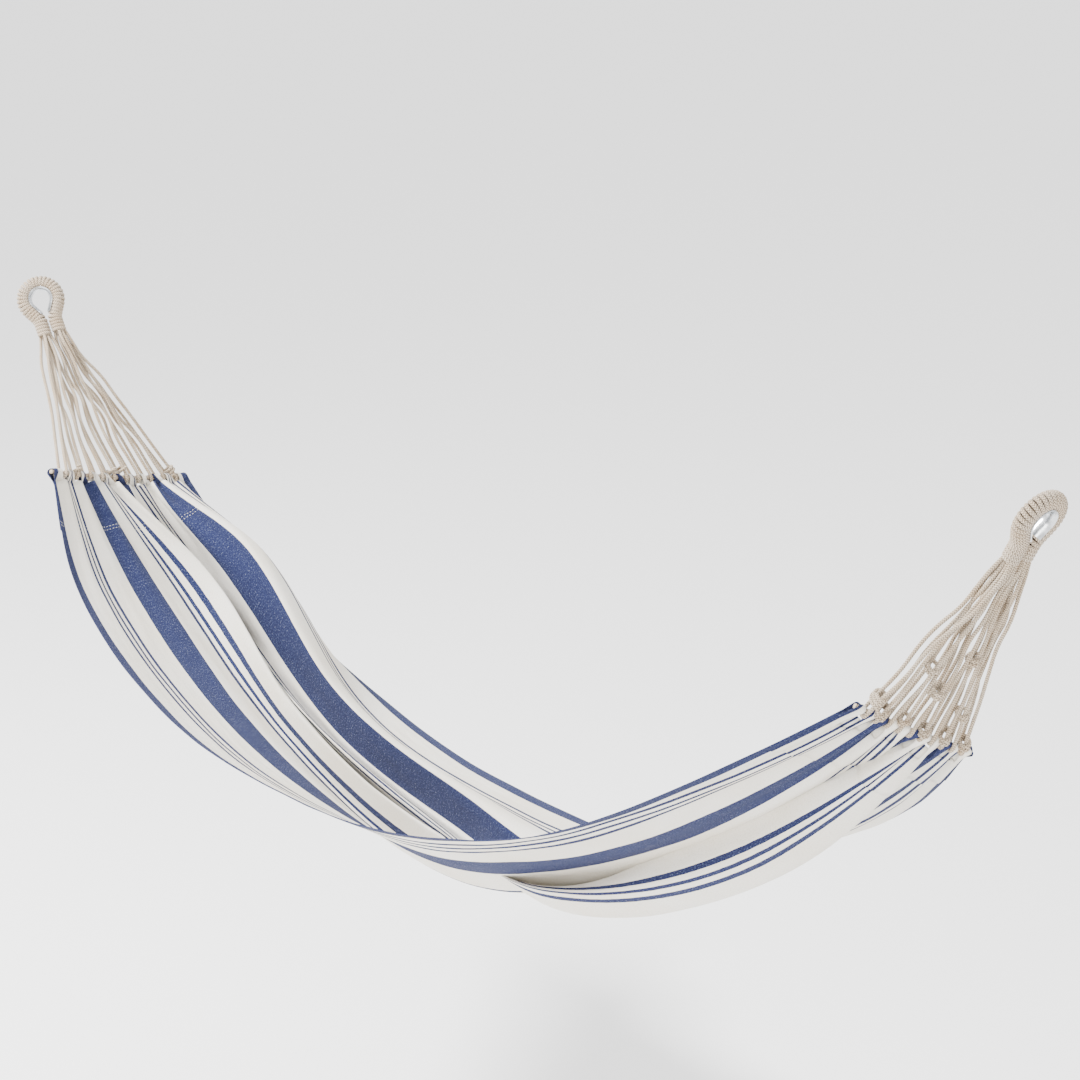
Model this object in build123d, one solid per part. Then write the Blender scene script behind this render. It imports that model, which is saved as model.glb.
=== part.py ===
from build123d import *
from collections import namedtuple
import math
import os

# Striped canvas hammock with roped ends and thimble eyes, hung between two hooks.
# Millimetres, +Z up. The origin is where the left hook bears on the left thimble's crown,
# and +X runs to the same place on the right thimble.

# ---------------------------------------------------------------- driving dimensions
CLOTH_LENGTH = 2000.0  # hem to hem, measured along the hung bed
BED_END_SLOPE = 43.0  # degrees below level, where the bed leaves each hem
ROPE_SLOPE = 62.0  # degrees below level, from each hook to its hem
HOOK_TO_HEM = 372.0

# A section of the bed: its width, how far it is lifted off the bed's line, how deep it sags
# and how far the near edge is tilted up and the far edge down.
Section = namedtuple("Section", "width lift sag tilt")
MIDDLE = Section(520.0, 0.0, 90.0, 60.0)
LEFT_HEM = Section(330.0, 85.0, 10.0, 55.0)
RIGHT_HEM = Section(150.0, 40.0, 5.0, 55.0)
HEM_LIFT = 38.0  # height of the hem that the bed's ends are worked out from
BED_THICKNESS = 6.0  # the gathered canvas with its pleats, as one plain shell
BED_STATIONS = 15
BED_COLUMNS = 9
BED_CLEAR = 10.2  # from the tunnels to the shell, room for the shell's slanted end
SAG_POWER = 1.7  # 1 is a V, 2 a parabola

CORD_D = 6.0
CORD_CLEAR = 0.3
LOOP_CLEAR = 1.2  # slack of a loop round the hem cord, which it crosses at a slant
LOOP_BEND_EASE = 0.2  # how much less than a half circle each corner of a loop's turn takes
HEM_CORD_D = 8.0
SLEEVE_D = 12.5
SLEEVE_BORE = 8.8
NOTCH = 13.0  # bare hem cord between two sleeves, where a rope loop goes round
LOOPS_PER_LEG = 5

EYE_SECTION = 25.0  # outside of the whipping
EYE_CORE_D = 17.6
EYE_BORE_D = 18.2
EYE_CROWN_R = 29.0  # centre line of the whipped core round the crown
EYE_FLARE = 30.0  # degrees, how far each leg opens from the neck to the crown
EYE_FLARE_R = 20.0
EYE_LEG_OFFSET = 12.9  # half the distance between the two legs at the neck
EYE_LEG_STRAIGHT = 22.0
EYE_TWIST_LEFT = 34.0  # degrees, each eye turned about the line it hangs on
EYE_TWIST_RIGHT = 5.0

THIMBLE_WALL = 1.5
THIMBLE_CLEAR = 0.3
THIMBLE_HALF_ANGLE = 52.0  # how far the steel channel reaches round the whipping

NECK_GAP = 16.0  # from the whipping's end to where the free ropes begin, room for the swing
TOP_COLUMN = 4.2  # between neighbouring loops at the neck, across the fan
TOP_ROW = 6.8  # between ropes at the neck, square to the fan
TOP_ROWS = (1.5, 0.5)  # even loops take the outer rows, odd ones the inner

# ---------------------------------------------------------------- worked-out places
slope = math.radians(ROPE_SLOPE)
bed_slope = math.radians(BED_END_SLOPE)
flare = math.radians(EYE_FLARE)

# A parabola y = k x^2 over 0..1 ends at slope 2k, and its length is closed-form.
k = math.tan(bed_slope) / 2
unit_arc = 0.5 * math.sqrt(1 + 4 * k * k) + math.asinh(2 * k) / (4 * k)
half_bed = CLOTH_LENGTH / 2 / unit_arc
bed_drop = k * half_bed

hem_x = HOOK_TO_HEM * math.cos(slope) - HEM_LIFT * math.sin(bed_slope)
hem_z = -HOOK_TO_HEM * math.sin(slope) - HEM_LIFT * math.cos(bed_slope)
span = 2 * (hem_x + half_bed)

crown_inner = EYE_CROWN_R - EYE_SECTION / 2 - THIMBLE_CLEAR - THIMBLE_WALL
leg_run = (
    EYE_CROWN_R * math.cos(flare)
    - EYE_LEG_OFFSET
    - EYE_FLARE_R * (1 - math.cos(flare))
) / math.sin(flare)
flare_start = (
    crown_inner
    + EYE_CROWN_R * math.sin(flare)
    + leg_run * math.cos(flare)
    + EYE_FLARE_R * math.sin(flare)
)
neck = flare_start + EYE_LEG_STRAIGHT


def save(shape, node):
    """Writes one node."""
    export_step(shape, f"parts/{node}.step")


def group(solids):
    """Separate solids of one node."""
    return Compound(children=list(solids))


# ---------------------------------------------------------------- frames along the bed
def end_sign(side):
    return 1 if side == "left" else -1


def hook(side):
    """Where the hook bears on the thimble."""
    return Vector(0, 0, 0) if side == "left" else Vector(span, 0, 0)


def rope_line(side):
    """Unit vector from the hook down to the hem."""
    return Vector(end_sign(side) * math.cos(slope), 0, -math.sin(slope))


def bed_point(x):
    """The bed's own line, which its sections stand on."""
    u = (x - span / 2) / half_bed
    return Vector(x, 0, hem_z - bed_drop * (1 - u * u))


def bed_up(x):
    """Unit vector square to the bed's line, in the XZ plane."""
    u = (x - span / 2) / half_bed
    gradient = 2 * k * u
    return Vector(-gradient, 0, 1).normalized()


def fullness(x):
    """0 at the hems and 1 in the middle."""
    u = (x - span / 2) / half_bed
    return math.cos(math.pi / 2 * min(1.0, abs(u)))


def bed_section(x):
    """The section between a hem's and the middle's."""
    hem = LEFT_HEM if x < span / 2 else RIGHT_HEM
    share = fullness(x)
    return Section(*(a + (b - a) * share for a, b in zip(hem, MIDDLE)))


def section_point(x, q, raised=0.0):
    """A point of the bed's section: q is -1 at the near edge and 1 at the far edge."""
    section = bed_section(x)
    across = Vector(0, 1, 0) * (q * section.width / 2)
    height = section.lift + abs(q) ** SAG_POWER * section.sag - q * section.tilt
    return bed_point(x) + across + bed_up(x) * (height + raised)


# ---------------------------------------------------------------- thimble eyes
def eye_plane(side, twist):
    """Local x across the eye, local y from the hook towards the hem."""
    down = rope_line(side)
    level = Vector(0, 1, 0)
    across = level.rotate(Axis((0, 0, 0), down), twist)
    return Plane(origin=hook(side), x_dir=across, z_dir=across.cross(down))


def eye_curve(with_legs):
    """Centre line of the whipped core: leg, flare, crown, flare, leg."""
    crown_turn = 180 + 2 * EYE_FLARE
    with BuildLine() as line:
        if with_legs:
            leg_end = (EYE_LEG_OFFSET, neck)
            leg_top = (EYE_LEG_OFFSET, flare_start)
            Line(leg_end, leg_top)
            out = JernArc(leg_top, (0, -1), EYE_FLARE_R, EYE_FLARE)
            start = out @ 1
        else:
            start = (
                EYE_LEG_OFFSET + EYE_FLARE_R * (1 - math.cos(flare)),
                flare_start - EYE_FLARE_R * math.sin(flare),
            )
        heading = Vector(math.sin(flare), -math.cos(flare))
        up = Line(start, Vector(start) + heading * leg_run)
        crown = JernArc(up @ 1, heading, EYE_CROWN_R, -crown_turn)
        back = Vector(math.sin(flare), math.cos(flare))
        down = Line(crown @ 1, (crown @ 1) + back * leg_run)
        if with_legs:
            inn = JernArc(down @ 1, back, EYE_FLARE_R, EYE_FLARE)
            Line(inn @ 1, (-EYE_LEG_OFFSET, neck))
    return line.wire()


def swept_round(path, radius):
    start = path @ 0
    plane = Plane(origin=start, z_dir=path % 0)
    return sweep(plane * Circle(radius), path=path)


def eye_core():
    return swept_round(eye_curve(True), EYE_CORE_D / 2)


def eye_whipping():
    path = eye_curve(True)
    return swept_round(path, EYE_SECTION / 2) - swept_round(path, EYE_BORE_D / 2)


def thimble():
    """Steel channel lying in the eye, its back towards the hook."""
    path = eye_curve(False)
    inner = EYE_SECTION / 2 + THIMBLE_CLEAR
    outer = inner + THIMBLE_WALL
    tangent = path % 0
    inward = Vector(tangent.Y, -tangent.X, 0)
    plane = Plane(origin=path @ 0, x_dir=inward, z_dir=tangent)
    ring = Circle(outer) - Circle(inner)
    reach = outer * 2
    half = math.radians(THIMBLE_HALF_ANGLE)
    wedge = make_face(
        Polyline(
            (0, 0),
            (reach * math.cos(half), -reach * math.sin(half)),
            (reach * math.cos(half), reach * math.sin(half)),
            (0, 0),
        )
    )
    return sweep(plane * (ring & wedge), path=path)


# ---------------------------------------------------------------- hems and ropes
def anchors(side):
    """Places along the hem cord: its two ends, with a rope loop at each place between."""
    gaps = 2 * LOOPS_PER_LEG + 1
    x = hem_x if side == "left" else span - hem_x
    return [section_point(x, -1 + 2 * i / gaps) for i in range(gaps + 1)]


def arc_radii(points):
    """The largest tangent arc at each corner: 0.45 of the shorter run over tan(half turn)."""
    radii = []
    for before, at, after in zip(points, points[1:], points[2:]):
        turn = math.radians((at - before).get_angle(after - at))
        run = min((at - before).length, (after - at).length)
        radii.append(0.45 * run / math.tan(turn / 2))
    return radii


def tube(points, radii, diameter):
    path = FilletPolyline(*points, radius=radii)
    plane = Plane(origin=path @ 0, z_dir=path % 0)
    solid = sweep(plane * Circle(diameter / 2), path=path)
    swept = math.pi * diameter**2 / 4 * path.length
    return solid, path.length, solid.volume / swept


def hem_cord(side):
    points = anchors(side)
    radii = arc_radii(points)
    solid, length, ratio = tube(points, radii, HEM_CORD_D)
    print(f"{side}_hem_cord length {length:.0f} volume ratio {ratio:.3f}")
    print("  radii", [round(r) for r in radii])
    return solid


def sleeve(start, end, first, last):
    """One tab of the hem's tunnel, between two notches."""
    along = (end - start).normalized()
    a = start + along * (0 if first else NOTCH / 2)
    b = end - along * (0 if last else NOTCH / 2)
    plane = Plane(origin=a, z_dir=along)
    ring = Circle(SLEEVE_D / 2) - Circle(SLEEVE_BORE / 2)
    return extrude(plane * ring, (b - a).length)


def hem_sleeves(side):
    points = anchors(side)
    runs = list(zip(points, points[1:]))
    last = len(runs) - 1
    return group(sleeve(a, b, i == 0, i == last) for i, (a, b) in enumerate(runs))


def rope_front(side):
    """Unit vector square to the fan of ropes."""
    return Vector(0, 1, 0).cross(rope_line(side)).normalized()


def rope_top(side, plane, leg, loop, strand):
    """Where one rope leaves the neck. Loops lie across the leg, ropes front and back."""
    sign = 1 if leg else -1
    middle = plane.from_local_coords(Vector(sign * EYE_LEG_OFFSET, neck + NECK_GAP, 0))
    column = (loop - (LOOPS_PER_LEG - 1) / 2) * TOP_COLUMN
    row = TOP_ROWS[loop % 2]
    depth = (1 if strand else -1) * row * TOP_ROW
    return middle + Vector(0, 1, 0) * column + rope_front(side) * depth


def rope_loop(side, plane, leg, loop):
    """One rope: down from the neck, round the hem cord and back up to the same leg."""
    points = anchors(side)
    index = leg * LOOPS_PER_LEG + loop
    at = points[1 + index]
    hem = (points[2 + index] - points[index]).normalized()
    turn = HEM_CORD_D / 2 + CORD_D / 2 + LOOP_CLEAR
    tops = [rope_top(side, plane, leg, loop, strand) for strand in (0, 1)]
    line = (at - (tops[0] + tops[1]) * 0.5).normalized()
    front = hem.cross(rope_line(side)).normalized()
    front = (front - line * front.dot(line)).normalized()
    corners = [at + line * turn - front * turn, at + line * turn + front * turn]
    route = [tops[0], *corners, tops[1]]
    radius = turn - LOOP_BEND_EASE
    solid, length, ratio = tube(route, [radius, radius], CORD_D)
    print(f"{side}_rope_{index + 1:02d} length {length:.0f} ratio {ratio:.3f} radius {radius:.1f}")
    return solid


# ---------------------------------------------------------------- the canvas bed
def bed():
    """The canvas as one plain shell, stopping just short of the hem's tunnels."""
    gap = SLEEVE_D / 2 + CORD_CLEAR + BED_CLEAR
    first = hem_x + gap * math.cos(bed_slope)
    last = span - first
    grid = []
    for i in range(BED_STATIONS):
        x = first + (last - first) * i / (BED_STATIONS - 1)
        row = [
            section_point(x, -1 + 2 * j / (BED_COLUMNS - 1), -BED_THICKNESS / 2)
            for j in range(BED_COLUMNS)
        ]
        grid.append(row)
    face = Face.make_surface_from_array_of_points(grid)
    return thicken(face, amount=BED_THICKNESS / 2, both=True)


# ---------------------------------------------------------------- build
def build():
    os.makedirs("parts", exist_ok=True)
    twists = {"left": EYE_TWIST_LEFT, "right": EYE_TWIST_RIGHT}
    pieces = {"thimble": thimble(), "eye_core": eye_core(), "eye_whipping": eye_whipping()}
    for side, twist in twists.items():
        plane = eye_plane(side, twist)
        for name, piece in pieces.items():
            save(plane.location * piece, f"{side}_{name}")
        save(hem_cord(side), f"{side}_hem_cord")
        save(hem_sleeves(side), f"{side}_hem_sleeves")
        for leg in (0, 1):
            for loop in range(LOOPS_PER_LEG):
                node = f"{side}_rope_{leg * LOOPS_PER_LEG + loop + 1:02d}"
                save(rope_loop(side, plane, leg, loop), node)
    save(bed(), "canvas_bed")
    neck_point = rope_line("left") * neck
    print(f"span {span:.1f} neck {neck:.1f} at {neck_point} hem {hem_x:.1f} {hem_z:.1f}")
    print(f"bed drop {bed_drop:.1f} lowest {bed_point(span / 2).Z:.1f}")


build()
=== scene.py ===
import math
import random

import bpy
import numpy as np
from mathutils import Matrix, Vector, noise


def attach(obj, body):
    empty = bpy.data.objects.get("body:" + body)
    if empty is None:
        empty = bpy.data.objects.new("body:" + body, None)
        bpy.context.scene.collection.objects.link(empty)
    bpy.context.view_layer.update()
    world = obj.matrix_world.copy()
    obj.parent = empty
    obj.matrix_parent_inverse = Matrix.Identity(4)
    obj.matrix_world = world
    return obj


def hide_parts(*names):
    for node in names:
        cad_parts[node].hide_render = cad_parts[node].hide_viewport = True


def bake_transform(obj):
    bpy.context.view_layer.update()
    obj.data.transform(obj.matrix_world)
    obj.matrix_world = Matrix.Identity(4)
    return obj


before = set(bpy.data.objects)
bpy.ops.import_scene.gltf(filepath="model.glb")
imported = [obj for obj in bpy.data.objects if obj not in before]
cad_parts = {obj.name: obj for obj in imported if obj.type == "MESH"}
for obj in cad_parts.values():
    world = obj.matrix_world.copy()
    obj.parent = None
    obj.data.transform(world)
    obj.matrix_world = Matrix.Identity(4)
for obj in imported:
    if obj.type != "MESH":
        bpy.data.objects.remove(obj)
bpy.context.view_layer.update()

# Metres. The frame is the CAD's: the origin is on the left thimble, +X runs to the right one.

# ---------------------------------------------------------------- the hung bed, as in the CAD
CLOTH_LENGTH = 2.0
CLOTH_WIDTH = 1.0
BED_SLOPE = math.radians(43)
ROPE_SLOPE = math.radians(62)
HOOK_TO_HEM = 0.372
HEM_LIFT = 0.038
SAG_POWER = 1.7
LEFT_HEM = (0.330, 0.085, 0.010, 0.055)  # width, lift, sag, tilt
RIGHT_HEM = (0.150, 0.040, 0.005, 0.055)

CORD_D = 0.006
HEM_CORD_D = 0.008
LOOP_TURN = 0.0082  # from the hem cord's centre to the rope's, where it goes round
LOOPS_PER_LEG = 5
LOOPS = 2 * LOOPS_PER_LEG
TABS = LOOPS + 1

EYE_SECTION = 0.025
EYE_CROWN_R = 0.029
EYE_FLARE = math.radians(30)
EYE_FLARE_R = 0.020
EYE_LEG_OFFSET = 0.0129
EYE_LEG_STRAIGHT = 0.022
EYE_TWIST = {"left": math.radians(34), "right": math.radians(5)}
CROWN_INNER = EYE_CROWN_R - EYE_SECTION / 2 - 0.0018  # thimble and its clearance
NECK_GAP = 0.016
TOP_COLUMN = 0.0042
TOP_ROW = 0.0068
TOP_ROWS = (1.5, 0.5)

steepness = math.tan(BED_SLOPE) / 2
unit_arc = 0.5 * math.sqrt(1 + 4 * steepness * steepness) + math.asinh(2 * steepness) / (4 * steepness)
half_bed = CLOTH_LENGTH / 2 / unit_arc
bed_drop = steepness * half_bed
hem_x = HOOK_TO_HEM * math.cos(ROPE_SLOPE) - HEM_LIFT * math.sin(BED_SLOPE)
hem_z = -HOOK_TO_HEM * math.sin(ROPE_SLOPE) - HEM_LIFT * math.cos(BED_SLOPE)
span = 2 * (hem_x + half_bed)

LEVEL = np.array([0.0, 1.0, 0.0])


def unit(v):
    v = np.asarray(v, float)
    return v / np.linalg.norm(v, axis=-1, keepdims=True)


def bed_line(share):
    """Points of the bed's line and its upward normals, at shares of its length from the left."""
    u = np.linspace(-1, 1, 801)
    length = u / 2 * np.sqrt(1 + (2 * steepness * u) ** 2) + np.arcsinh(2 * steepness * u) / (4 * steepness)
    length = (length - length[0]) / (length[-1] - length[0])
    u = np.interp(share, length, u)
    zero = np.zeros_like(u)
    points = np.stack([span / 2 + half_bed * u, zero, hem_z - bed_drop * (1 - u * u)], -1)
    return points, unit(np.stack([-2 * steepness * u, zero, np.ones_like(u)], -1))


def hem_point(side, q):
    """The hem cord's centre: q is -1 at the near edge and 1 at the far edge."""
    q = np.asarray(q, float)
    width, lift, sag, tilt = LEFT_HEM if side == "left" else RIGHT_HEM
    point, up = bed_line(np.array([0.0 if side == "left" else 1.0]))
    height = lift + np.abs(q) ** SAG_POWER * sag - q * tilt
    return point[0] + np.multiply.outer(q * width / 2, LEVEL) + np.multiply.outer(height, up[0])


# ---------------------------------------------------------------- meshes
def mesh_piece(name, points, faces, uvs=None, smooth=True):
    """A mesh object. uvs are flat coordinates in metres, one for each corner of each face."""
    mesh = bpy.data.meshes.new(name)
    mesh.from_pydata([tuple(p) for p in points], [], [tuple(f) for f in faces])
    if uvs is not None:
        layer = mesh.uv_layers.new(name="Flat")
        layer.data.foreach_set("uv", np.asarray(uvs, np.float32).ravel())
    mesh.polygons.foreach_set("use_smooth", [smooth] * len(mesh.polygons))
    mesh.validate()
    piece = bpy.data.objects.new(name, mesh)
    bpy.context.scene.collection.objects.link(piece)
    return piece


def grid_faces(rows, columns, start=0, ring=False):
    """Quads of a grid of points; with ring, the last column joins the first."""
    across = columns if ring else columns - 1
    row, column = np.meshgrid(np.arange(rows - 1), np.arange(across), indexing="ij")
    after = (column + 1) % columns
    quads = np.stack([row * columns + column, row * columns + after,
                      (row + 1) * columns + after, (row + 1) * columns + column], -1)
    return (quads + start).reshape(-1, 4)


def spline_points(name, controls, fine=16):
    """Points of the smooth NURBS line that has these control points."""
    curve = bpy.data.curves.new(name + "_line", "CURVE")
    curve.dimensions = "3D"
    line = curve.splines.new("NURBS")
    line.points.add(len(controls) - 1)
    for point, place in zip(line.points, controls):
        point.co = (*place, 1.0)
    line.order_u = 3
    line.use_endpoint_u = True
    line.resolution_u = fine
    holder = bpy.data.objects.new(name + "_line", curve)
    bpy.context.scene.collection.objects.link(holder)
    bpy.context.view_layer.update()
    read = bpy.data.meshes.new_from_object(holder)
    points = np.array([v.co for v in read.vertices])
    bpy.data.meshes.remove(read)
    bpy.data.objects.remove(holder)
    bpy.data.curves.remove(curve)
    return points


def even_points(points, step):
    """The same line with evenly spaced points."""
    gaps = np.linalg.norm(np.diff(points, axis=0), axis=1)
    along = np.concatenate([[0], np.cumsum(gaps)])
    count = max(3, int(round(along[-1] / step)) + 1)
    places = np.linspace(0, along[-1], count)
    return np.stack([np.interp(places, along, points[:, i]) for i in range(3)], -1)


def carried_frames(points):
    """Two unit vectors square to the line at each point, carried along without twist."""
    ahead = unit(np.gradient(points, axis=0))
    first = np.cross(ahead[0], [0.3, 0.9, 0.2])
    across = [unit(first)]
    for direction in ahead[1:]:
        v = across[-1] - direction * (across[-1] @ direction)
        across.append(unit(v))
    across = np.array(across)
    return across, np.cross(ahead, across)


def plait_relief(angle, along, columns, lay):
    """Height from 0 to 1 of a round plait: columns of V-shaped stitches down the cord."""
    place = np.abs(np.mod(angle / (2 * math.pi) * columns, 1.0) * 2 - 1)
    stitch = 0.5 + 0.5 * np.cos(2 * math.pi * (along / lay - 0.8 * place))
    return stitch * (0.35 + 0.65 * np.sin(math.pi * np.clip(place, 0.0, 1.0)))


def plaited_tube(points, radius, around=16, relief=0.0007, columns=4, lay=0.0036,
                 flat=1.0, normals=None):
    """Points, faces and flat coordinates of a plaited cord along a line of even points."""
    across, over = carried_frames(points)
    if normals is not None:
        over = normals
        across = np.cross(over, unit(np.gradient(points, axis=0)))
    gaps = np.linalg.norm(np.diff(points, axis=0), axis=1)
    along = np.concatenate([[0], np.cumsum(gaps)])[:, None]
    angle = np.arange(around)[None] * 2 * math.pi / around
    size = radius - relief + relief * plait_relief(angle, along, columns, lay)
    ring = (across[:, None] * (size * np.cos(angle))[..., None]
            + over[:, None] * (size * np.sin(angle) * flat)[..., None])
    body = (points[:, None] + ring).reshape(-1, 3)
    faces = grid_faces(len(points), around, ring=True)
    column = (faces[:, :1] % around).astype(float)
    row = faces[:, :1] // around
    v = np.concatenate([column, column + 1, column + 1, column], 1) / around
    low, high = along[row[:, 0]], along[row[:, 0] + 1]
    u = np.concatenate([low, low, high, high], 1)
    uvs = np.stack([u, v], -1).reshape(-1, 2)
    return body, faces, uvs


def cap(faces, uvs, points, rows, around):
    """Closes a tube's two ends with a middle point each."""
    body = list(points)
    out = [list(f) for f in faces]
    flat = list(uvs)
    for row in (0, rows - 1):
        centre = len(body)
        ring = [row * around + i for i in range(around)]
        body.append(np.mean([points[i] for i in ring], axis=0))
        for i in range(around):
            pair = (ring[i], ring[(i + 1) % around])
            out.append([centre, *(pair if row else pair[::-1])])
            flat += [(0, 0)] * 3
    return body, out, flat


def cord_piece(name, lines, radius, **shape):
    """One mesh of plaited cords along one or more lines."""
    body, faces, uvs = [], [], []
    around = shape.get("around", 16)
    for points in lines:
        p, f, t = plaited_tube(points, radius, **shape)
        p, f, t = cap(f, t, p, len(points), around)
        faces += [[i + len(body) for i in face] for face in f]
        body += list(p)
        uvs += list(t)
    return mesh_piece(name, body, faces, uvs)


# ---------------------------------------------------------------- materials
def srgb(r, g, b):
    """A colour given as sRGB 0 to 255, in Blender's linear values."""
    def linear(c):
        c /= 255
        return c / 12.92 if c <= 0.04045 else ((c + 0.055) / 1.055) ** 2.4
    return (linear(r), linear(g), linear(b), 1.0)


class Shader:
    """A material and short ways to add nodes to it."""

    def __init__(self, name):
        self.material = bpy.data.materials.new(name)
        self.material.use_nodes = True
        self.tree = self.material.node_tree
        self.surface = self.tree.nodes["Principled BSDF"]

    def node(self, kind, **values):
        made = self.tree.nodes.new(kind)
        for name, value in values.items():
            setattr(made, name, value)
        return made

    def plug(self, value, socket):
        if isinstance(value, bpy.types.NodeSocket):
            self.tree.links.new(value, socket)
        else:
            socket.default_value = value

    def math(self, operation, a, b=0.0, c=0.0):
        made = self.node("ShaderNodeMath", operation=operation)
        for value, socket in zip((a, b, c), made.inputs):
            self.plug(value, socket)
        return made.outputs[0]

    def mix(self, share, a, b, kind="MIX"):
        made = self.node("ShaderNodeMix", data_type="RGBA", blend_type=kind)
        self.plug(share, made.inputs[0])
        self.plug(a, made.inputs[6])
        self.plug(b, made.inputs[7])
        return made.outputs[2]

    def noise(self, vector, scale, detail=2.0, rough=0.5):
        made = self.node("ShaderNodeTexNoise")
        self.plug(vector, made.inputs["Vector"])
        made.inputs["Scale"].default_value = scale
        made.inputs["Detail"].default_value = detail
        made.inputs["Roughness"].default_value = rough
        return made.outputs["Fac"]

    def ramp(self, value, stops, constant=False):
        made = self.node("ShaderNodeValToRGB")
        made.color_ramp.interpolation = "CONSTANT" if constant else "LINEAR"
        elements = made.color_ramp.elements
        while len(elements) < len(stops):
            elements.new(1.0)
        for element, (place, shade) in zip(elements, stops):
            element.position = place
            element.color = shade if hasattr(shade, "__len__") else (shade, shade, shade, 1)
        self.plug(value, made.inputs[0])
        return made.outputs[0]

    def stretch(self, vector, by):
        made = self.node("ShaderNodeVectorMath", operation="MULTIPLY")
        self.plug(vector, made.inputs[0])
        made.inputs[1].default_value = by
        return made.outputs[0]

    def flat(self):
        """The flat coordinates, in metres, as a vector and its two parts."""
        uv = self.node("ShaderNodeUVMap", uv_map="Flat").outputs[0]
        parts = self.node("ShaderNodeSeparateXYZ")
        self.plug(uv, parts.inputs[0])
        return uv, parts.outputs[0], parts.outputs[1]

    def bump(self, height, distance, strength=1.0, below=None):
        made = self.node("ShaderNodeBump")
        made.inputs["Strength"].default_value = strength
        made.inputs["Distance"].default_value = distance
        self.plug(height, made.inputs["Height"])
        if below is not None:
            self.plug(below, made.inputs["Normal"])
        return made.outputs[0]

    def finish(self, color, roughness, normal, **constants):
        self.plug(color, self.surface.inputs["Base Color"])
        self.plug(roughness, self.surface.inputs["Roughness"])
        self.plug(normal, self.surface.inputs["Normal"])
        for name, value in constants.items():
            self.surface.inputs[name.replace("_", " ")].default_value = value
        return self.material


STRIPE_REPEAT = 0.25
WIDE = 0.033  # half of a wide blue stripe
THIN = 0.0095
THIN_GAP = 0.0113


def stripe_share(shader, across):
    """1 in a blue stripe and 0 in a white one, from the flat distance across the cloth."""
    place = shader.math("WRAP", across, STRIPE_REPEAT, 0.0)
    place = shader.math("DIVIDE", place, STRIPE_REPEAT)
    first = 0.5 - (1.5 * THIN + THIN_GAP) / STRIPE_REPEAT
    edges = [(0.0, 1.0), (WIDE / STRIPE_REPEAT, 0.0)]
    for line in range(3):
        start = first + line * (THIN + THIN_GAP) / STRIPE_REPEAT
        edges += [(start, 1.0), (start + THIN / STRIPE_REPEAT, 0.0)]
    edges.append((1 - WIDE / STRIPE_REPEAT, 1.0))
    return shader.ramp(place, edges, constant=True)


def canvas_material():
    """Plain-weave cotton: chambray blue stripes, undyed white ones, slubs and creases."""
    shader = Shader("striped_canvas")
    uv, across, along = shader.flat()
    wander = shader.noise(shader.stretch(uv, (0.0, 60.0, 0.0)), 1.0, 3.0)
    across_wander = shader.math("MULTIPLY_ADD", wander, 0.0014, across)
    across_wander = shader.math("SUBTRACT", across_wander, 0.0007)
    blue = stripe_share(shader, across_wander)

    speck = shader.noise(shader.stretch(uv, (520.0, 330.0, 1.0)), 1.0, 3.0, 0.7)
    slub = shader.noise(shader.stretch(uv, (900.0, 14.0, 1.0)), 1.0, 2.0, 0.6)
    pick = shader.noise(shader.stretch(uv, (10.0, 800.0, 1.0)), 1.0, 2.0, 0.6)
    threads = shader.math("ADD", shader.math("MULTIPLY", slub, 0.5),
                          shader.math("MULTIPLY", pick, 0.5))
    heather = shader.math("ADD", shader.math("MULTIPLY", speck, 0.75),
                          shader.math("MULTIPLY", threads, 0.25))
    chambray = shader.ramp(heather, [(0.34, srgb(17, 22, 52)), (0.47, srgb(29, 35, 70)),
                                     (0.57, srgb(48, 55, 90)), (0.70, srgb(140, 146, 168))])
    undyed = shader.ramp(heather, [(0.33, srgb(212, 205, 192)), (0.45, srgb(230, 226, 217)),
                                   (0.62, srgb(238, 235, 229))])
    aged = shader.noise(uv, 5.0, 4.0)
    tint = shader.ramp(aged, [(0.35, srgb(250, 246, 238)), (0.65, srgb(255, 255, 255))])
    undyed = shader.mix(1.0, undyed, tint, "MULTIPLY")
    color = shader.mix(blue, undyed, chambray)

    warp = shader.math("SINE", shader.math("MULTIPLY", across, 2 * math.pi / 0.0016))
    weft = shader.math("SINE", shader.math("MULTIPLY", along, 2 * math.pi / 0.0016))
    weave = shader.math("MULTIPLY", warp, weft)
    weave = shader.math("ADD", weave, shader.math("MULTIPLY", speck, 1.4))
    creases = shader.noise(shader.stretch(uv, (26.0, 9.0, 1.0)), 1.0, 5.0, 0.55)
    soft = shader.bump(creases, 0.006, 0.55)
    normal = shader.bump(weave, 0.00022, 0.8, soft)
    rough = shader.ramp(speck, [(0.3, 0.78), (0.7, 0.93)])
    return shader.finish(color, rough, normal, Specular_IOR_Level=0.15, Sheen_Weight=0.03,
                         Sheen_Roughness=0.5)


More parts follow.
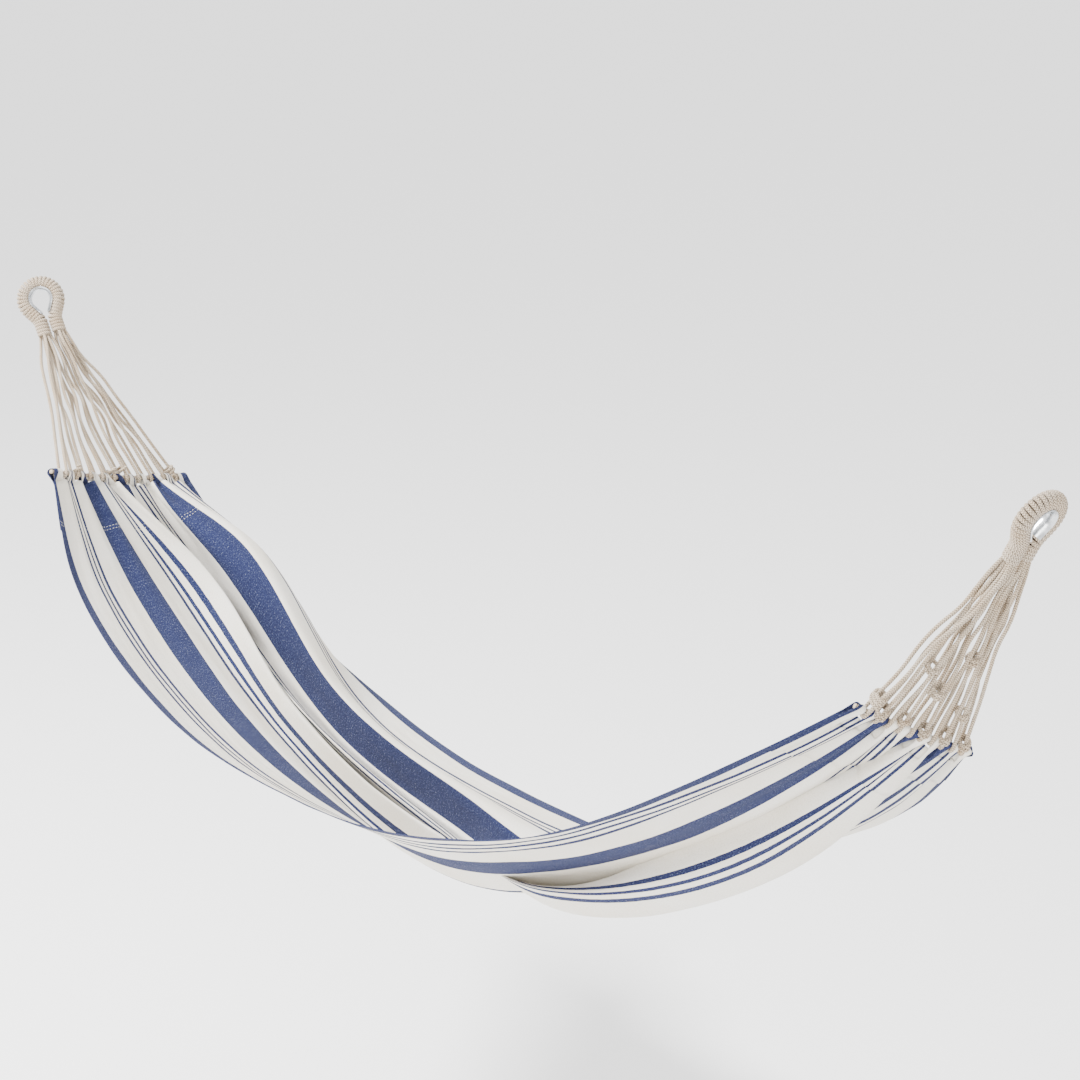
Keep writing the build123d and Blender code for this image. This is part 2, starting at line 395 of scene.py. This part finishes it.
def rope_material(name, columns, lay, light, gap_shade):
    """Plaited cotton: V-shaped stitches with painted shade in their gaps, fibres and slight soiling."""
    shader = Shader(name)
    uv, along, angle = shader.flat()
    place = shader.math("FRACT", shader.math("MULTIPLY", angle, columns))
    place = shader.math("ABSOLUTE", shader.math("MULTIPLY_ADD", place, 2.0, -1.0))
    run = shader.math("DIVIDE", along, lay)
    run = shader.math("SUBTRACT", run, shader.math("MULTIPLY", place, 0.8))
    plait = shader.math("COSINE", shader.math("MULTIPLY", run, 2 * math.pi))
    position = shader.node("ShaderNodeTexCoord").outputs["Object"]
    fibre = shader.noise(position, 1400.0, 2.0, 0.7)
    soil = shader.noise(position, 28.0, 3.0)
    height = shader.math("MULTIPLY_ADD", plait, 0.4, shader.math("MULTIPLY_ADD", fibre, 0.5, 0.25))
    # painted shade: the plait's low places between stitches are coloured dark, as if shadowed
    gaps = shader.ramp(height, [(0.12, gap_shade), (0.62, light), (1.0, light)])
    stain = shader.ramp(soil, [(0.3, srgb(240, 230, 216)), (0.6, srgb(255, 255, 255))])
    color = shader.mix(1.0, gaps, stain, "MULTIPLY")
    normal = shader.bump(height, 0.0006, 0.8)
    rough = shader.ramp(fibre, [(0.3, 0.8), (0.7, 0.95)])
    return shader.finish(color, rough, normal, Specular_IOR_Level=0.25, Sheen_Weight=0.2,
                         Sheen_Roughness=0.6)


def steel_material():
    """Bright galvanised steel with fine scratches and dulled patches."""
    shader = Shader("galvanised_steel")
    position = shader.node("ShaderNodeTexCoord").outputs["Object"]
    patches = shader.noise(position, 90.0, 4.0)
    scratches = shader.noise(shader.stretch(position, (900.0, 900.0, 120.0)), 1.0, 3.0)
    color = shader.ramp(patches, [(0.3, srgb(168, 170, 172)), (0.7, srgb(214, 216, 218))])
    rough = shader.ramp(patches, [(0.3, 0.16), (0.7, 0.38)])
    normal = shader.bump(scratches, 0.0002, 0.5)
    return shader.finish(color, rough, normal, Metallic=1.0)


def thread_material():
    """Sewing thread, white, twisted."""
    shader = Shader("sewing_thread")
    position = shader.node("ShaderNodeTexCoord").outputs["Object"]
    twist = shader.noise(position, 1600.0, 2.0)
    color = shader.ramp(twist, [(0.3, srgb(214, 208, 196)), (0.6, srgb(240, 238, 232))])
    return shader.finish(color, shader.ramp(twist, [(0.3, 0.6), (0.7, 0.85)]),
                         shader.bump(twist, 0.0003, 0.6), Sheen_Weight=0.1)


def floor_material():
    """Pale matt backdrop paper."""
    shader = Shader("backdrop")
    position = shader.node("ShaderNodeTexCoord").outputs["Object"]
    grain = shader.noise(position, 300.0, 2.0)
    color = shader.ramp(grain, [(0.3, srgb(250, 250, 250)), (0.7, srgb(253, 253, 253))])
    return shader.finish(color, shader.ramp(grain, [(0.3, 0.85), (0.7, 0.95)]),
                         shader.bump(grain, 0.0002, 0.2))


CANVAS = canvas_material()
PLAIT_LAY = 0.0036
# the second colour of each cord is painted shade for the plait's gaps
ROPE = rope_material("cotton_cord", 4, PLAIT_LAY, srgb(196, 180, 158), srgb(78, 62, 46))
WINDING = rope_material("cotton_winding", 4, 0.0032, srgb(198, 182, 161), srgb(74, 59, 44))
STEEL = steel_material()
THREAD = thread_material()


def dress(piece, material, body="bed"):
    """Gives a piece its material and the body it rides, if it rides one."""
    piece.data.materials.clear()
    piece.data.materials.append(material)
    if body:
        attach(piece, body)
    return piece


# ---------------------------------------------------------------- the canvas
# How the hung canvas lies between its hems, in centimetres: at shares of the bed's length, one
# pair for each place across the flat cloth. A pair is the distance towards the far side and the
# height above the bed's line. A near wall, a lip and a pocket, then a far ridge and a flap.
ACROSS = (0, 10, 20, 29, 37, 44, 53, 62, 71, 79, 89, 100)
DRAPE = {
    0.12: ((-24, 14), (-18, 11), (-11, 8), (-4, 7), (2, 4), (6, 8),
           (7, -1), (12, -1), (10, 6), (12, 13), (19, 8), (22, -1)),
    0.28: ((-26, 14), (-19, 10), (-12, 7), (-5, 5), (2, 1), (2, 7),
           (8, 0), (4, 6), (11, 1), (10, 9), (18, 3), (26, 0)),
    0.46: ((-25, 16), (-17, 11), (-9, 6), (-2, 1), (4, -4), (3, 3),
           (8, -4), (3, 4), (10, 0), (9, 8), (17, 4), (26, 2)),
    0.64: ((-26, 16), (-19, 13), (-12, 9), (-5, 5), (1, 1), (7, -3),
           (0, 1), (-7, 3), (0, -3), (8, 0), (17, 1), (26, -1)),
    0.82: ((-26, 13), (-19, 12), (-12, 9), (-5, 6), (2, 4), (8, 4),
           (0, 8), (-5, 1), (3, -3), (9, 2), (18, -1), (26, -2)),
}
CLOTH_COLUMNS = 27 * TABS
CLOTH_THICKNESS = 0.0009
CASING_R = 0.0068
CASING_DEPTH = 0.105
CLOTH_START = 0.007  # share of the length where the canvas leaves the hem's casing
ROW_CROWDING = 0.045  # how much closer together the cloth's rows are near the hems
GATHER_REACH = {"left": 0.10, "right": 0.13}  # shares of the length over which gathers die away
GATHER_HEIGHT = {"left": 0.0080, "right": 0.0070}
CREASE_HEIGHT = 0.0022
FINE_CREASE_HEIGHT = 0.0009
FACING_GAP = 0.0016  # between the canvas and the hem turned back under it
NOTCH_HALF = 0.0065
CASING_ROWS = 9  # rows of the casing that a notch cuts


def easy_weights(places, knots):
    """Matrix that carries values at the knots to a smooth line through them."""
    knots = np.asarray(knots, float)
    matrix = np.zeros((len(places), len(knots)))
    for row, place in enumerate(places):
        i = int(np.clip(np.searchsorted(knots, place) - 1, 0, len(knots) - 2))
        gap = knots[i + 1] - knots[i]
        q = (place - knots[i]) / gap
        matrix[row, i] += 2 * q**3 - 3 * q * q + 1
        matrix[row, i + 1] += 3 * q * q - 2 * q**3
        for knot, share in ((i, q**3 - 2 * q * q + q), (i + 1, q**3 - q * q)):
            low, high = max(knot - 1, 0), min(knot + 1, len(knots) - 1)
            pull = share * gap / (knots[high] - knots[low])
            matrix[row, high] += pull
            matrix[row, low] -= pull
    return matrix


def hem_section(hem):
    """The hem's line, as pairs like those in DRAPE but in metres."""
    width, lift, sag, tilt = hem
    q = 2 * np.array(ACROSS) / 100 - 1
    return np.stack([q * width / 2, lift + np.abs(q) ** SAG_POWER * sag - q * tilt], -1)


def drape_points(share, across):
    """Points of the hung canvas at shares of its length and flat distances across it."""
    places = sorted(DRAPE)
    between = [np.array(DRAPE[place]) / 100 for place in places]
    table = np.array([hem_section(LEFT_HEM), *between, hem_section(RIGHT_HEM)])
    down = easy_weights(share, [0.0, *places, 1.0])
    over = easy_weights(across, np.array(ACROSS) / 100)
    y = down @ table[:, :, 0] @ over.T
    height = down @ table[:, :, 1] @ over.T
    line, up = bed_line(np.asarray(share))
    return line[:, None] + LEVEL * y[..., None] + up[:, None] * height[..., None]


def surface_normals(points):
    """Unit normals of a grid of points, towards the inside of the bed."""
    along = np.gradient(points, axis=0)
    over = np.gradient(points, axis=1)
    return unit(np.cross(along, over))


def pleats(share, across):
    """Height of the gathers that spread from the tabs, and of the small creases."""
    height = np.zeros((len(share), len(across)))
    for i, t in enumerate(share):
        left = math.exp(-t / GATHER_REACH["left"])
        right = math.exp(-(1 - t) / GATHER_REACH["right"])
        for j, s in enumerate(across):
            drift = 0.35 * noise.noise(Vector((s * 7, t * 5, 3.0)))
            wave = math.cos(2 * math.pi * (TABS * s + drift))
            odd = 0.6 + 0.6 * noise.noise(Vector((s * 9, 0.0, 7.0)))
            gather = GATHER_HEIGHT["left"] * left + GATHER_HEIGHT["right"] * right
            height[i, j] = wave * odd * gather
            crease = noise.noise(Vector((s * 16, t * 7, 1.0)))
            fine = noise.noise(Vector((s * 42 + t * 9, t * 22, 5.0)))
            height[i, j] += CREASE_HEIGHT * crease + FINE_CREASE_HEIGHT * fine
    return height


def cloth_rows():
    """Shares of the length, closer together near the hems."""
    even = np.linspace(0, 1, 127)
    eased = even - ROW_CROWDING * np.sin(2 * math.pi * even)
    return CLOTH_START + (1 - 2 * CLOTH_START) * eased


def make_cloth():
    """The canvas as one sheet, with its grid of points, their normals and their flat places."""
    share = cloth_rows()
    across = np.linspace(0, CLOTH_WIDTH, CLOTH_COLUMNS + 1)
    base = drape_points(share, across)
    inward = surface_normals(base)
    points = base + inward * pleats(share, across)[..., None]
    columns = len(across)
    faces = grid_faces(len(share), columns)
    flat = np.stack(np.broadcast_arrays(across[None], share[:, None] * CLOTH_LENGTH), -1)
    flat = flat.reshape(-1, 2)
    cloth = mesh_piece("canvas_cloth", points.reshape(-1, 3), faces, flat[faces].reshape(-1, 2))
    thick = cloth.modifiers.new("thickness", "SOLIDIFY")
    thick.thickness = CLOTH_THICKNESS
    thick.offset = 0
    return cloth, points, surface_normals(points), share, across


def casing_grid(side, cloth, inward, share, across):
    """Rows of the hem's casing: round the hem cord, then back under the canvas."""
    order = 0 if side == "left" else len(share) - 1
    step = 1 if side == "left" else -1
    centre = hem_point(side, 2 * across - 1)
    edge = cloth[order]
    out = unit(centre - edge)
    up = inward[order]
    up = unit(up - out * np.sum(up * out, -1, keepdims=True))
    rows, flats = [edge], [share[order] * CLOTH_LENGTH]
    for turn in np.radians([60, 95, 130, 165, 200, 235, 270]):
        rows.append(centre + CASING_R * (-out * math.cos(turn) + up * math.sin(turn)))
        flats.append(flats[-1] - step * CASING_R * 0.6)
    for row in range(1, len(share)):
        place = order + step * row
        distance = abs(share[place] - share[order]) * CLOTH_LENGTH
        if distance > CASING_DEPTH:
            break
        rows.append(cloth[place] - inward[place] * FACING_GAP)
        flats.append(flats[-1] - step * 0.012)
    return np.array(rows), np.array(flats)


def make_casing(side, cloth, inward, share, across):
    """The hem's casing, cut by notches where the ropes pass."""
    rows, along = casing_grid(side, cloth, inward, share, across)
    columns = len(across)
    faces = grid_faces(len(rows), columns)
    length = np.linalg.norm(np.diff(hem_point(side, 2 * across - 1), axis=0), axis=1).sum()
    notch = NOTCH_HALF / length * CLOTH_COLUMNS
    tab = CLOTH_COLUMNS // TABS
    column = faces[:, 0] % columns
    row = faces[:, 0] // columns
    nearest = np.abs((column + 0.5 + tab / 2) % tab - tab / 2)
    inner = (column > tab / 2) & (column < CLOTH_COLUMNS - tab / 2)
    cut = (nearest < notch) & inner & (row < CASING_ROWS)
    faces = faces[~cut]
    flat = np.stack(np.broadcast_arrays(across[None], along[:, None]), -1).reshape(-1, 2)
    used = np.unique(faces)
    back = np.full(len(flat), -1)
    back[used] = np.arange(len(used))
    piece = mesh_piece(f"{side}_hem_casing", rows.reshape(-1, 3)[used], back[faces],
                       flat[faces].reshape(-1, 2))
    thick = piece.modifiers.new("thickness", "SOLIDIFY")
    thick.thickness = CLOTH_THICKNESS
    thick.offset = 0
    return piece


STITCH_ROWS = (0.100, 0.106)  # from each end of the canvas
STITCH_STEP = 0.0009
STITCH_PITCH = 0.0056
STITCH_RISE = 0.0007
THREAD_R = 0.00032


def make_stitches(cloth, inward, share, across):
    """Double rows of stitching that hold each hem."""
    lines = []
    for place in STITCH_ROWS:
        for end in (0, 1):
            t = place / CLOTH_LENGTH if end == 0 else 1 - place / CLOTH_LENGTH
            i = int(np.argmin(np.abs(share - t)))
            j = i + (1 if share[i] < t else -1)
            mix = (t - share[i]) / (share[j] - share[i])
            line = cloth[i] * (1 - mix) + cloth[j] * mix
            up = unit(inward[i] * (1 - mix) + inward[j] * mix)
            lines.append((line, up))
    body, faces, uvs = [], [], []
    for line, up in lines:
        gaps = np.linalg.norm(np.diff(line, axis=0), axis=1)
        along = np.concatenate([[0], np.cumsum(gaps)])
        places = np.arange(0, along[-1], STITCH_STEP)
        points = np.stack([np.interp(places, along, line[:, i]) for i in range(3)], -1)
        lift = unit(np.stack([np.interp(places, along, up[:, i]) for i in range(3)], -1))
        points = points + lift * (STITCH_RISE * np.sin(places * 2 * math.pi / STITCH_PITCH))[:, None]
        p, f, t = plaited_tube(points, THREAD_R, around=5, relief=0.0)
        faces += [[i + len(body) for i in face] for face in f]
        body += list(p)
        uvs += list(t)
    return mesh_piece("canvas_stitches", body, faces, uvs)


# ---------------------------------------------------------------- eyes
def hook(side):
    """Where the hook bears in the eye."""
    return np.array([0.0, 0.0, 0.0]) if side == "left" else np.array([span, 0.0, 0.0])


def rope_line(side):
    """Unit vector from the hook down to the hem."""
    sign = 1 if side == "left" else -1
    return np.array([sign * math.cos(ROPE_SLOPE), 0.0, -math.sin(ROPE_SLOPE)])


def eye_axes(side):
    """Across the eye, down it and square to it."""
    down = rope_line(side)
    turn = EYE_TWIST[side]
    across = LEVEL * math.cos(turn) + np.cross(down, LEVEL) * math.sin(turn)
    return across, down, np.cross(across, down)


def eye_outline():
    """Points of the core's centre line, in the eye's plane: leg, flare, crown and back."""
    sin, cos = math.sin(EYE_FLARE), math.cos(EYE_FLARE)
    leg_run = (EYE_CROWN_R * cos - EYE_LEG_OFFSET - EYE_FLARE_R * (1 - cos)) / sin
    middle = CROWN_INNER
    flare_start = middle + EYE_CROWN_R * sin + leg_run * cos + EYE_FLARE_R * sin
    neck = flare_start + EYE_LEG_STRAIGHT
    half = [(EYE_LEG_OFFSET, neck - EYE_LEG_STRAIGHT * i / 10) for i in range(10)]
    for angle in np.linspace(0, EYE_FLARE, 8):
        half.append((EYE_LEG_OFFSET + EYE_FLARE_R * (1 - math.cos(angle)),
                     flare_start - EYE_FLARE_R * math.sin(angle)))
    start = math.atan2(sin, cos)
    for angle in np.linspace(start, -math.pi / 2, 30):
        half.append((EYE_CROWN_R * math.cos(angle), middle + EYE_CROWN_R * math.sin(angle)))
    mirrored = [(-x, y) for x, y in half[-2::-1]]
    return np.array(half + mirrored), neck


EYE_LINE, NECK = eye_outline()
WRAP_PITCH = 0.0056
WRAP_HALF_HIGH = 0.0024
WRAP_R = EYE_SECTION / 2 - WRAP_HALF_HIGH


def make_winding(side):
    """The cord wound closely round the eye's core, from one leg's end to the other's."""
    across, down, square = eye_axes(side)
    line = hook(side) + np.outer(EYE_LINE[:, 0], across) + np.outer(EYE_LINE[:, 1], down)
    line = even_points(line, 0.0002)
    ahead = unit(np.gradient(line, axis=0))
    out = np.cross(ahead, square)
    along = np.arange(len(line)) * 0.0002
    turn = 2 * math.pi * along / WRAP_PITCH + 0.8
    radial = out * np.cos(turn)[:, None] + square * np.sin(turn)[:, None]
    helix = line + radial * WRAP_R
    even = even_points(helix, 0.0011)
    gaps = np.concatenate([[0], np.cumsum(np.linalg.norm(np.diff(helix, axis=0), axis=1))])
    places = np.linspace(0, gaps[-1], len(even))
    radial = unit(np.stack([np.interp(places, gaps, radial[:, i]) for i in range(3)], -1))
    p, f, t = plaited_tube(even, WRAP_PITCH / 2 + 0.0005, around=14, relief=0.0007, columns=4,
                           lay=0.0032, flat=WRAP_HALF_HIGH / (WRAP_PITCH / 2 + 0.0005), normals=radial)
    p, f, t = cap(f, t, p, len(even), 14)
    return mesh_piece(f"{side}_eye_winding", p, f, t)


# ---------------------------------------------------------------- ropes
def rope_top(side, leg, loop, strand, lower):
    """Where a rope leaves the neck, lower being how far below the whipping's end."""
    across, down, _ = eye_axes(side)
    sign = 1 if leg else -1
    middle = hook(side) + across * sign * EYE_LEG_OFFSET + down * (NECK + lower)
    column = (loop - (LOOPS_PER_LEG - 1) / 2) * TOP_COLUMN
    row = (1 if strand else -1) * TOP_ROWS[loop % 2] * TOP_ROW
    front = unit(np.cross(LEVEL, down))
    spread = 1.0 if lower >= NECK_GAP else 0.45
    return middle + (LEVEL * column + front * row) * spread


WAVE_PLACES = (0.14, 0.30, 0.46, 0.62, 0.80)
WAVE = {"left": 0.0045, "right": 0.0075}
STRANDS_APART = 0.0012
HOLD_UP = 0.036  # above the hem cord, where a loop's two parts draw together
HOLD_PINCH = 0.0012
ROPE_STEP = 0.0016


def rope_controls(side, leg, loop):
    """The route of one loop: down from the neck, round the hem cord and back up."""
    index = leg * LOOPS_PER_LEG + loop
    step = 2 / TABS
    before, at, after = hem_point(side, [-1 + step * (index + i) for i in range(3)])
    tops = [rope_top(side, leg, loop, strand, NECK_GAP) for strand in (0, 1)]
    inner = [rope_top(side, leg, loop, strand, -0.010) for strand in (0, 1)]
    line = unit(at - (tops[0] + tops[1]) / 2)
    front = unit(np.cross(unit(after - before), rope_line(side)))
    front = unit(front - line * (front @ line))
    turn = at + line * LOOP_TURN
    corners = [turn - front * LOOP_TURN, turn + front * LOOP_TURN]
    rng = random.Random(f"{side} {index}")
    waves = [(LEVEL * rng.uniform(-1, 1) + front * rng.uniform(-1, 1)) * WAVE[side]
             for _ in WAVE_PLACES]
    routes = []
    for strand in (0, 1):
        top, corner = tops[strand], corners[strand]
        hold = corner - line * HOLD_UP + front * (-HOLD_PINCH if strand else HOLD_PINCH)
        points = [inner[strand], top]
        for share, sway in zip(WAVE_PLACES, waves):
            apart = (LEVEL * rng.uniform(-1, 1) + front * rng.uniform(-1, 1)) * STRANDS_APART
            points.append(top * (1 - share) + hold * share + sway + apart)
        routes.append([*points, hold, corner])
    return routes[0] + routes[1][::-1], at, line, front


def make_ropes(side):
    """The twenty runs of rope between the eye and the hem, as ten loops."""
    loops = {}
    for leg in (0, 1):
        for loop in range(LOOPS_PER_LEG):
            index = leg * LOOPS_PER_LEG + loop + 1
            controls, at, line, front = rope_controls(side, leg, loop)
            name = f"{side}_rope_{index:02d}_plait"
            path = even_points(spline_points(name, controls), ROPE_STEP)
            rope = cord_piece(name, [path], CORD_D / 2)
            dress(rope, ROPE, body=None)
            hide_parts(f"{side}_rope_{index:02d}")
            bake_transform(rope)
            loops[index] = (at, line, front, path)
    return loops


# Knots: the loop, how far up from the hem cord, and how many turns of cord it has.
KNOTS = {
    "left": ((2, 0.010, 1.3), (5, 0.012, 1.4), (6, 0.016, 1.3), (10, 0.014, 2.2)),
    "right": ((1, 0.030, 2.6), (2, 0.014, 2.2), (3, 0.110, 1.6), (4, 0.016, 1.4), (5, 0.075, 2.4),
              (6, 0.012, 2.1), (7, 0.145, 1.6), (8, 0.014, 2.0), (9, 0.060, 1.5), (10, 0.012, 2.2)),
}


def make_knots(side, loops):
    """Turns of cord drawn tight round a loop's two parts."""
    lines = []
    for index, height, turns in KNOTS[side]:
        at, line, front, path = loops[index]
        across = np.cross(line, front)
        middle = len(path) // 2
        steps = int(height / ROPE_STEP)
        pair = (path[middle - steps - 6] + path[middle + steps + 6]) / 2
        apart = np.linalg.norm(path[middle - steps - 6] - path[middle + steps + 6]) / 2
        lean = unit(path[middle - steps - 14] + path[middle + steps + 14] - 2 * pair)
        angles = np.linspace(0, turns * 2 * math.pi, 60) + index
        rise = (np.arange(60) / 59 - 0.5) * turns * 0.0058 + 0.0030 * np.sin(angles)
        points = (pair + np.outer(np.cos(angles) * (apart + 0.0052), front)
                  + np.outer(np.sin(angles) * 0.0060, across) + np.outer(rise, lean))
        lines.append(even_points(points, ROPE_STEP))
    return cord_piece(f"{side}_rope_knots", lines, CORD_D / 2, around=14)


def make_hem_cord(side):
    """The plaited cord that runs through the hem."""
    places = np.linspace(-1.0, 1.0, 60)
    line = even_points(hem_point(side, places), ROPE_STEP)
    return cord_piece(f"{side}_hem_cord_plait", [line], HEM_CORD_D / 2)


# ---------------------------------------------------------------- assembly
def build():
    """Makes every visible piece, puts it on its body and hides the CAD part it stands in for."""
    cloth, points, inward, share, across = make_cloth()
    dress(cloth, CANVAS)
    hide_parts("canvas_bed")
    for side in ("left", "right"):
        casing = dress(make_casing(side, points, inward, share, across), CANVAS)
        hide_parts(f"{side}_hem_sleeves")
        hem_cord = dress(make_hem_cord(side), ROPE)
        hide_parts(f"{side}_hem_cord")
        winding = dress(make_winding(side), WINDING, body="eyes")
        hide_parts(f"{side}_eye_whipping", f"{side}_eye_core")
        dress(make_knots(side, make_ropes(side)), ROPE)
        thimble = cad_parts[f"{side}_thimble"]
        thimble.data.materials.clear()
        thimble.data.materials.append(STEEL)
    stitches = dress(make_stitches(points, inward, share, across), THREAD)


# ---------------------------------------------------------------- studio
CAMERA_AZIMUTH = math.radians(44.74)
CAMERA_ELEVATION = math.radians(15.62)
CAMERA_DISTANCE = 3.867
CAMERA_TARGET = Vector((1.1705, 0.048, -0.2243))
CAMERA_VIEW = math.radians(23.04)
FLOOR_Z = -1.35
FLOOR_REACH = 90.0


def make_camera():
    """The camera, looking at the hammock from its near side."""
    sin_a, cos_a = math.sin(CAMERA_AZIMUTH), math.cos(CAMERA_AZIMUTH)
    sin_e, cos_e = math.sin(CAMERA_ELEVATION), math.cos(CAMERA_ELEVATION)
    back = Vector((sin_a * cos_e, -cos_a * cos_e, sin_e))
    data = bpy.data.cameras.new("camera")
    data.sensor_width = 36
    data.lens = data.sensor_width / 2 / math.tan(CAMERA_VIEW / 2)
    data.clip_end = 200
    camera = bpy.data.objects.new("camera", data)
    camera.location = CAMERA_TARGET + back * CAMERA_DISTANCE
    camera.rotation_mode = "QUATERNION"
    camera.rotation_quaternion = (-back).to_track_quat("-Z", "Y")
    bpy.context.scene.collection.objects.link(camera)
    bpy.context.scene.camera = camera


def make_light(name, place, aim, size, watts):
    """A round soft light at a place, turned towards its aim."""
    data = bpy.data.lights.new(name, "AREA")
    data.shape = "DISK"
    data.size = size
    data.energy = watts
    lamp = bpy.data.objects.new(name, data)
    lamp.location = place
    lamp.rotation_mode = "QUATERNION"
    lamp.rotation_quaternion = (Vector(aim) - Vector(place)).to_track_quat("-Z", "Y")
    bpy.context.scene.collection.objects.link(lamp)


def make_studio():
    """A pale floor, an even white sky and two lights."""
    reach = FLOOR_REACH
    corners = [(-reach, -reach, FLOOR_Z), (reach, -reach, FLOOR_Z),
               (reach, reach, FLOOR_Z), (-reach, reach, FLOOR_Z)]
    floor = mesh_piece("studio_floor", corners, [(0, 1, 2, 3)], smooth=False)
    floor.data.materials.append(floor_material())
    world = bpy.data.worlds.new("studio")
    world.use_nodes = True
    sky = world.node_tree.nodes["Background"]
    sky.inputs[0].default_value = (1.0, 1.0, 1.0, 1.0)
    sky.inputs[1].default_value = 2.1
    bpy.context.scene.world = world
    middle = (span / 2, 0.0, -0.5)
    make_light("key", (-0.9, -2.0, 2.8), middle, 0.8, 560)
    make_light("fill", (3.6, -2.4, 1.2), middle, 1.6, 90)


build()
make_camera()
make_studio()
